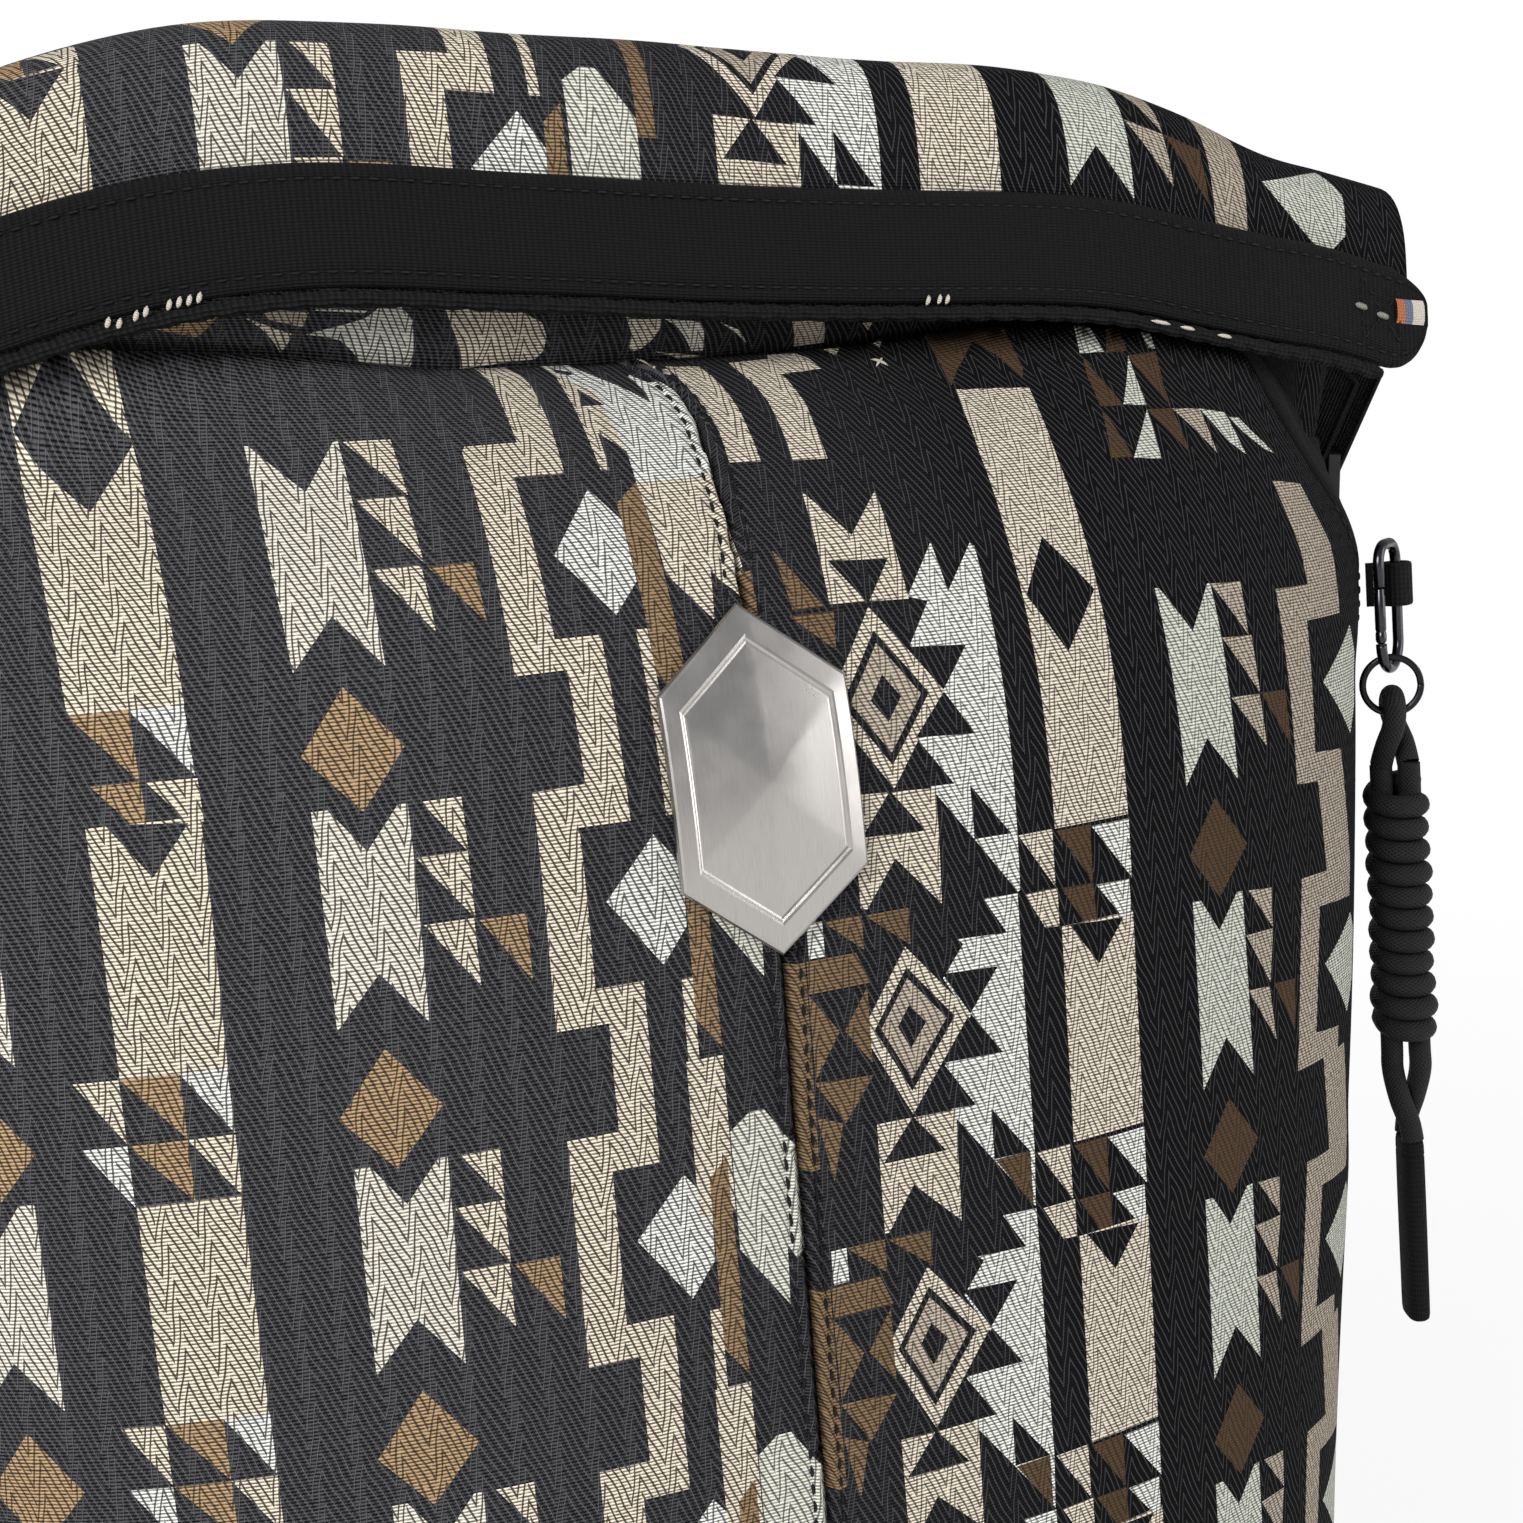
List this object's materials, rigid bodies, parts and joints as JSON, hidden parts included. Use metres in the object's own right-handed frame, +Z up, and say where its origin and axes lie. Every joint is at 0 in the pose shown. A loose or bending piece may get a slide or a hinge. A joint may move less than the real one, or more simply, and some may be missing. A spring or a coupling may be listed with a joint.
{
  "type": "backpack",
  "caption": "Backpack with a gathered neck under a rolled top, side buckles, padded shoulder straps, a metal badge, and a cord lanyard on a ring clip.",
  "frame": {"origin": "on the ground under the middle of the whole object's box", "axes": "+Z up, -Y is the bag's front, +Y the wearer's side with the shoulder straps, +X is right when seen from the front"},
  "size_m": [0.34, 0.1994, 0.46],
  "materials": {
    "back_pad_left": "padded cloth",
    "back_pad_lower": "padded cloth",
    "back_pad_right": "padded cloth",
    "back_panel": "padded cloth",
    "badge_backing": "sheet",
    "badge_plate": "satin nickel",
    "base_board": "sheet",
    "base_panel": "ribbed webbing cloth",
    "clip_gate": "gunmetal plate",
    "clip_ring": "gunmetal plate",
    "clip_tab": "ribbed webbing cloth",
    "frame_sheet": "sheet",
    "front_panel_left": "woven jacquard",
    "front_panel_right": "woven jacquard",
    "grab_handle": "ribbed webbing cloth",
    "ladder_lock_left": "moulded acetal",
    "ladder_lock_right": "moulded acetal",
    "lanyard_knot": "braided cord",
    "lanyard_loop": "braided cord",
    "lanyard_sleeve": "braided cord",
    "lanyard_tail_front": "braided cord",
    "lanyard_tail_rear": "braided cord",
    "lining": "plain polyester",
    "lip_band": "ribbed webbing cloth",
    "lip_binding": "ribbed webbing cloth",
    "neck_collar": "woven jacquard",
    "roll_tab_left": "ribbed webbing cloth",
    "roll_tab_right": "ribbed webbing cloth",
    "rolled_top": "woven jacquard",
    "shoulder_strap_left": "padded cloth",
    "shoulder_strap_right": "padded cloth",
    "side_buckle_female_left": "moulded acetal",
    "side_buckle_female_right": "moulded acetal",
    "side_buckle_male_left": "moulded acetal",
    "side_buckle_male_right": "moulded acetal",
    "side_panel_left": "ribbed webbing cloth",
    "side_panel_right": "ribbed webbing cloth",
    "side_strap_left": "ribbed webbing cloth",
    "side_strap_right": "ribbed webbing cloth",
    "split_ring": "black steel",
    "sternum_buckle_female": "moulded acetal",
    "sternum_buckle_male": "moulded acetal",
    "sternum_rail_left": "ribbed webbing cloth",
    "sternum_rail_right": "ribbed webbing cloth",
    "sternum_slider_left": "moulded acetal",
    "sternum_slider_right": "moulded acetal",
    "sternum_web_left": "ribbed webbing cloth",
    "sternum_web_right": "ribbed webbing cloth",
    "strap_anchor_left": "ribbed webbing cloth",
    "strap_anchor_right": "ribbed webbing cloth",
    "strap_webbing_left": "ribbed webbing cloth",
    "strap_webbing_right": "ribbed webbing cloth"
  },
  "bodies": {
    "bag": {"back_pad_left": "back_pad_left", "back_pad_lower": "back_pad_lower", "back_pad_right": "back_pad_right", "back_panel": "back_panel", "badge_backing": "badge_backing", "badge_plate": "badge_plate", "base_board": "base_board", "base_panel": "base_panel", "clip_tab": "clip_tab", "frame_sheet": "frame_sheet", "front_panel_left": "front_panel_left", "front_panel_right": "front_panel_right", "grab_handle": "grab_handle", "ladder_lock_left": "ladder_lock_left", "ladder_lock_right": "ladder_lock_right", "lining": "lining", "lip_band": "lip_band", "lip_binding": "lip_binding", "neck_collar": "neck_collar", "roll_tab_left": "roll_tab_left", "roll_tab_right": "roll_tab_right", "rolled_top": "rolled_top", "shoulder_strap_left": "shoulder_strap_left", "shoulder_strap_right": "shoulder_strap_right", "side_buckle_female_left": "side_buckle_female_left", "side_buckle_female_right": "side_buckle_female_right", "side_panel_left": "side_panel_left", "side_panel_right": "side_panel_right", "side_strap_left": "side_strap_left", "side_strap_right": "side_strap_right", "sternum_rail_left": "sternum_rail_left", "sternum_rail_right": "sternum_rail_right", "strap_anchor_left": "strap_anchor_left", "strap_anchor_right": "strap_anchor_right", "strap_webbing_left": "strap_webbing_left", "strap_webbing_right": "strap_webbing_right"},
    "side_tongue_left": {"side_buckle_male_left": "side_buckle_male_left"},
    "side_tongue_right": {"side_buckle_male_right": "side_buckle_male_right"},
    "sternum_strap": {"sternum_slider_left": "sternum_slider_left", "sternum_slider_right": "sternum_slider_right", "sternum_web_left": "sternum_web_left", "sternum_web_right": "sternum_web_right", "sternum_buckle_female": "sternum_buckle_female"},
    "sternum_tongue": {"sternum_buckle_male": "sternum_buckle_male"},
    "clip": {"clip_ring": "clip_ring"},
    "gate": {"clip_gate": "clip_gate"},
    "key_ring": {"split_ring": "split_ring"},
    "lanyard": {"lanyard_loop": "lanyard_loop", "lanyard_knot": "lanyard_knot", "lanyard_tail_front": "lanyard_tail_front", "lanyard_tail_rear": "lanyard_tail_rear", "lanyard_sleeve": "lanyard_sleeve"}
  },
  "joints": [
    {"name": "side_buckle_left", "type": "slide", "parent": "bag", "child": "side_tongue_left", "axis": [-0.0892, 0, 0.996], "range_m": [0, 0.011]},
    {"name": "side_buckle_right", "type": "slide", "parent": "bag", "child": "side_tongue_right", "axis": [0.0892, 0, 0.996], "range_m": [0, 0.011]},
    {"name": "sternum_height", "type": "slide", "parent": "bag", "child": "sternum_strap", "axis": [0, 0, 1], "range_m": [-0.014, 0.014]},
    {"name": "sternum_buckle", "type": "slide", "parent": "sternum_strap", "child": "sternum_tongue", "axis": [1, 0, 0], "range_m": [0, 0.011]},
    {"name": "clip_swing", "type": "hinge", "parent": "bag", "child": "clip", "pos_m": [0.16211, -0.04985, 0.3542], "axis": [0, 0, 1], "range_deg": [-8, 30]},
    {"name": "clip_gate", "type": "hinge", "parent": "clip", "child": "gate", "pos_m": [0.15308, -0.05613, 0.3353], "axis": [-0.5708, 0.8211, 0], "range_deg": [0, 25], "stiffness_Nm_per_rad": 0.002, "springref_deg": -17.19},
    {"name": "split_ring_swing", "type": "hinge", "parent": "clip", "child": "key_ring", "pos_m": [0.15759, -0.05299, 0.3287], "axis": [-0.8211, -0.5708, 0], "range_deg": [-2, 30]},
    {"name": "lanyard_swing", "type": "hinge", "parent": "key_ring", "child": "lanyard", "pos_m": [0.15759, -0.05299, 0.31925], "axis": [0.8486, -0.5291, 0], "range_deg": [-14, 18]}
  ]
}
